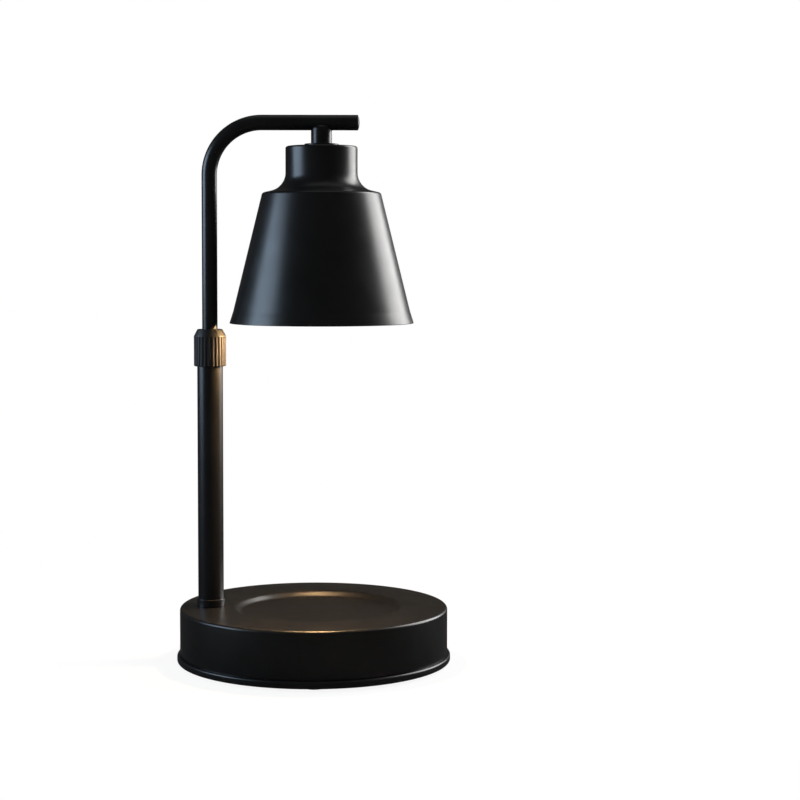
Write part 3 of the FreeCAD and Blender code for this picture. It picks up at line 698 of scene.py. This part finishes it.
def wallInside(corners, wall):
    # the same outline moved in by the wall, corner by corner from the mouth to the top
    inside = [(corners[-1][0] - wall, corners[-1][1], corners[-1][2])]
    for i in range(len(corners) - 2, 0, -1):
        sides = []
        for a, b in ((corners[i - 1], corners[i]), (corners[i], corners[i + 1])):
            run, drop = b[0] - a[0], b[1] - a[1]
            length = math.hypot(run, drop)
            sides.append((drop / length, -run / length))
        (ax, az), (bx, bz) = sides
        share = wall / (1 + ax * bx + az * bz)
        turn = (corners[i][0] - corners[i - 1][0]) * (corners[i + 1][1] - corners[i][1]) \
            - (corners[i][1] - corners[i - 1][1]) * (corners[i + 1][0] - corners[i][0])
        rounding = corners[i][2] + (wall if turn > 0 else -wall)
        inside.append((corners[i][0] + (ax + bx) * share, corners[i][1] + (az + bz) * share,
                       rounding))
    inside.append((corners[0][0] - wall, corners[0][1] - wall, corners[0][2] - wall))
    return inside


def makeShade():
    inside = wallInside(shade["outside"], shade["wall"])
    top, ceiling = (shade["hole"], shadeTop), (shade["hole"], shadeTop - shade["wall"])
    shade["rings"] = [top] + shade["outside"] + inside + [ceiling]
    finishPiece(turnPiece("shade", shade), "arm", "shade")


makeHousing()
makePlate()
makeFeet()
makePole()
print("base and pole modelled")
makeClampNut()
makeUpperTube()
makeArmEnd()
makeStem()
makeShade()
print("clamp, arm and shade modelled")


stageSet = {
    "floorSize": 8.0,
    "floorColour": (0.86, 0.86, 0.86),
    "nearWhite": 0.9,           # share of plain white that the camera sees round the base
    "nearReach": 0.12,           # from the middle of the base, in metres
    "farReach": 0.55,            # beyond this the floor is plain white
    "floorInGloss": 0.04,        # level of the floor in reflections
    "plainLevel": 0.45,          # what matt surfaces get from the studio
    "glossLevel": 0.045,         # dark studio walls in reflections
    "wallTowards": (0.743, 0.516, 0.426),
    "wallEdge": (0.9, 0.97),     # where the white wall starts and is full
}

lamps = {
    "leftBox": {"place": (-0.93, -0.11, 0.44), "aim": (0, -0.11, 0.44), "size": (0.62, 0.52),
                "power": 7.0, "colour": (0.6, 0.78, 1.0)},
    "rightBox": {"place": (0.93, 0.47, 0.7), "aim": (0, 0, 0.6), "size": (0.74, 1.06),
                 "power": 21.0, "colour": (1.0, 0.99, 0.98)},
    "topBox": {"place": (0.05, 0.1, 1.1), "aim": (0, 0, 0.1), "size": (0.6, 0.6),
               "power": 0.4, "colour": (1.0, 1.0, 1.0)},
}

bulbGlow = {
    "radius": 13.0,
    "below": 6.5,                # below the lamp's front glass
    "power": 2.8,
    "spread": 168.0,             # degrees; the lamp's rim cuts its light off beyond this
    "softEdge": 0.05,
    "colour": (1.0, 0.62, 0.29),
}


def addMath(tree, operation, x, y, first, second):
    # first and second are plain numbers or the outputs of other nodes
    made = addNode(tree, "ShaderNodeMath", x, y, operation=operation)
    for socket, value in zip(made.inputs, (first, second)):
        if isinstance(value, (int, float)):
            socket.default_value = value
        else:
            tree.links.new(value, socket)
    return made.outputs[0]


def addFloor():
    # a pale floor that keeps the shadow and goes over to plain white further out
    deselectAll()
    bpy.ops.mesh.primitive_plane_add(size=stageSet["floorSize"], location=(0, 0, 0))
    floor = bpy.context.object
    floor.name = "floor"
    material = bpy.data.materials.new("paleFloor")
    material.use_nodes = True
    tree = material.node_tree
    tree.nodes.clear()
    out = addNode(tree, "ShaderNodeOutputMaterial", 800, 0)
    diffuse = addNode(tree, "ShaderNodeBsdfDiffuse", 0, -200, Color=(*stageSet["floorColour"], 1))
    dim = addNode(tree, "ShaderNodeEmission", 0, -400, Strength=stageSet["floorInGloss"])
    white = addNode(tree, "ShaderNodeEmission", 0, 100, Strength=1.0)
    path = addNode(tree, "ShaderNodeLightPath", -700, 300)
    place = addNode(tree, "ShaderNodeTexCoord", -900, 0)
    far = addNode(tree, "ShaderNodeVectorMath", -700, 0, operation="LENGTH")
    tree.links.new(place.outputs["Object"], far.inputs[0])
    share = rangeOf(tree, -500, 0, far.outputs["Value"], stageSet["nearWhite"], 1.0,
                    stageSet["nearReach"], stageSet["farReach"])
    seen = addMath(tree, "MULTIPLY", -300, 200, share, path.outputs["Is Camera Ray"])
    gloss = addNode(tree, "ShaderNodeMixShader", 300, -200)
    mix = addNode(tree, "ShaderNodeMixShader", 550, 0)
    tree.links.new(path.outputs["Is Glossy Ray"], gloss.inputs[0])
    tree.links.new(diffuse.outputs[0], gloss.inputs[1])
    tree.links.new(dim.outputs[0], gloss.inputs[2])
    tree.links.new(seen, mix.inputs[0])
    tree.links.new(gloss.outputs[0], mix.inputs[1])
    tree.links.new(white.outputs[0], mix.inputs[2])
    tree.links.new(mix.outputs[0], out.inputs["Surface"])
    floor.data.materials.append(material)


def addWorld():
    # the camera and glass see white; gloss sees a dim studio with a white wall high on the right
    world = bpy.data.worlds.new("studio")
    bpy.context.scene.world = world
    world.use_nodes = True
    tree = world.node_tree
    tree.nodes.clear()
    out = addNode(tree, "ShaderNodeOutputWorld", 800, 0)
    light = addNode(tree, "ShaderNodeBackground", 600, 0, Color=(1, 1, 1, 1))
    path = addNode(tree, "ShaderNodeLightPath", -700, 300)
    place = addNode(tree, "ShaderNodeTexCoord", -900, -200)
    towards = addNode(tree, "ShaderNodeVectorMath", -700, -200, operation="DOT_PRODUCT")
    towards.inputs[1].default_value = stageSet["wallTowards"]
    tree.links.new(place.outputs["Generated"], towards.inputs[0])
    wall = rangeOf(tree, -500, -200, towards.outputs["Value"], stageSet["glossLevel"], 1.0,
                   *stageSet["wallEdge"])
    inGloss = addMath(tree, "MULTIPLY", -300, -100, wall, path.outputs["Is Glossy Ray"])
    plain = addMath(tree, "SUBTRACT", -500, 100, 1.0, path.outputs["Is Glossy Ray"])
    elsewhere = addMath(tree, "MULTIPLY", -300, 100, plain, stageSet["plainLevel"])
    level = addMath(tree, "ADD", -100, 0, inGloss, elsewhere)
    seen = addMath(tree, "MAXIMUM", -100, 300, path.outputs["Is Camera Ray"],
                   path.outputs["Is Transmission Ray"])
    tree.links.new(addMath(tree, "MAXIMUM", 300, 100, seen, level), light.inputs["Strength"])
    tree.links.new(light.outputs[0], out.inputs["Surface"])


def addLamp(name, lamp):
    # a softbox at its place, in metres, turned to face its aim
    deselectAll()
    place = lamp["place"]
    bpy.ops.object.light_add(type="AREA", location=place)
    made = bpy.context.object
    made.name = name
    made.data.shape = "RECTANGLE"
    made.data.size, made.data.size_y = lamp["size"]
    made.data.energy = lamp["power"]
    made.data.color = lamp["colour"]
    aim = lamp["aim"]
    back = [place[i] - aim[i] for i in range(3)]
    across = math.hypot(back[0], back[1])
    made.rotation_euler = (math.atan2(across, back[2]), 0, math.atan2(back[0], -back[1]))


def addBulbGlow():
    # the light that the lamp in the shade throws down
    deselectAll()
    low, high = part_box("lamp_lens")
    bpy.ops.object.light_add(type="SPOT", location=((low.x + high.x) / 2, 0,
                                                     low.z - bulbGlow["below"] * mm))
    made = bpy.context.object
    made.name = "bulbGlow"
    made.data.spot_size = math.radians(bulbGlow["spread"])
    made.data.spot_blend = bulbGlow["softEdge"]
    made.data.shadow_soft_size = bulbGlow["radius"] * mm
    made.data.energy = bulbGlow["power"]
    made.data.color = bulbGlow["colour"]
    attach(made, "lamp")        # so that the glow goes with the shade


addCamera()
addFloor()
addWorld()
for lampName, lampSet in lamps.items():
    addLamp(lampName, lampSet)
addBulbGlow()
bpy.context.scene.view_settings.view_transform = "Standard"
print("stage and lights ready")
